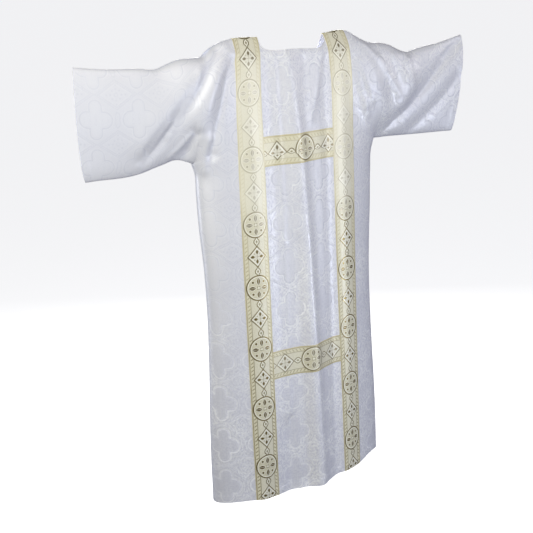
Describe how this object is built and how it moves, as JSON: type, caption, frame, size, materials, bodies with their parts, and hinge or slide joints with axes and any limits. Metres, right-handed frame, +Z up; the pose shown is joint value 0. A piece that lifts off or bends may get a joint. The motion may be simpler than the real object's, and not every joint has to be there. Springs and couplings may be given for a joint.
{
  "type": "dalmatic",
  "caption": "Wide-sleeved vestment of white damask, hanging hollow as worn, with woven bands down front and back and crossbars between them on the front",
  "frame": {"origin": "middle of the shoulder line, where the garment rests on its wearer's shoulders", "axes": "+X is the wearer's left, +Y is the garment's back, +Z is up"},
  "size_m": [1.2565, 0.2, 1.31],
  "materials": {
    "damask": "white satin damask, tone on tone, with a soft sheen",
    "galloon": "woven band with a cream ground and gold-brown figures"
  },
  "bodies": {
    "root": {"front_panel": "damask", "back_panel": "damask", "sleeve_right": "damask", "sleeve_left": "damask", "orphrey_right": "galloon", "orphrey_left": "galloon", "crossbar_chest": "galloon", "crossbar_knee": "galloon"}
  },
  "joints": []
}
